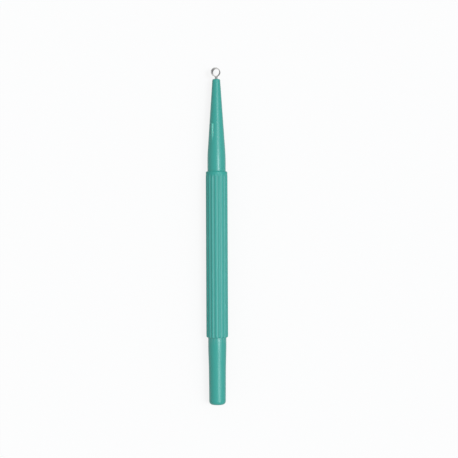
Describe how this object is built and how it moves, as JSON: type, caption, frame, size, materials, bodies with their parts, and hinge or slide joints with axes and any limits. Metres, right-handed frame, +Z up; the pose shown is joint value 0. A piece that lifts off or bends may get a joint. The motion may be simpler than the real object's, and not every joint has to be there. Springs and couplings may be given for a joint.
{
  "type": "dermal curette",
  "caption": "Slim one-piece plastic handle with a fluted grip and tapered nose, carrying a small ring-shaped steel blade folded from one strip, for scraping skin.",
  "frame": {"origin": "middle of the footprint, on the surface that the tool lies on", "axes": "+Y along the handle towards the ring blade, +Z up, the way the cutting rim faces, +X to the right"},
  "size_m": [0.009, 0.14, 0.0089],
  "materials": {
    "teal_plastic": "moulded, satin on the grip and glossier on nose and tail",
    "ground_steel": "ground across the strip"
  },
  "bodies": {
    "root": {"handle": "teal_plastic", "ring_blade": "ground_steel"}
  },
  "joints": []
}
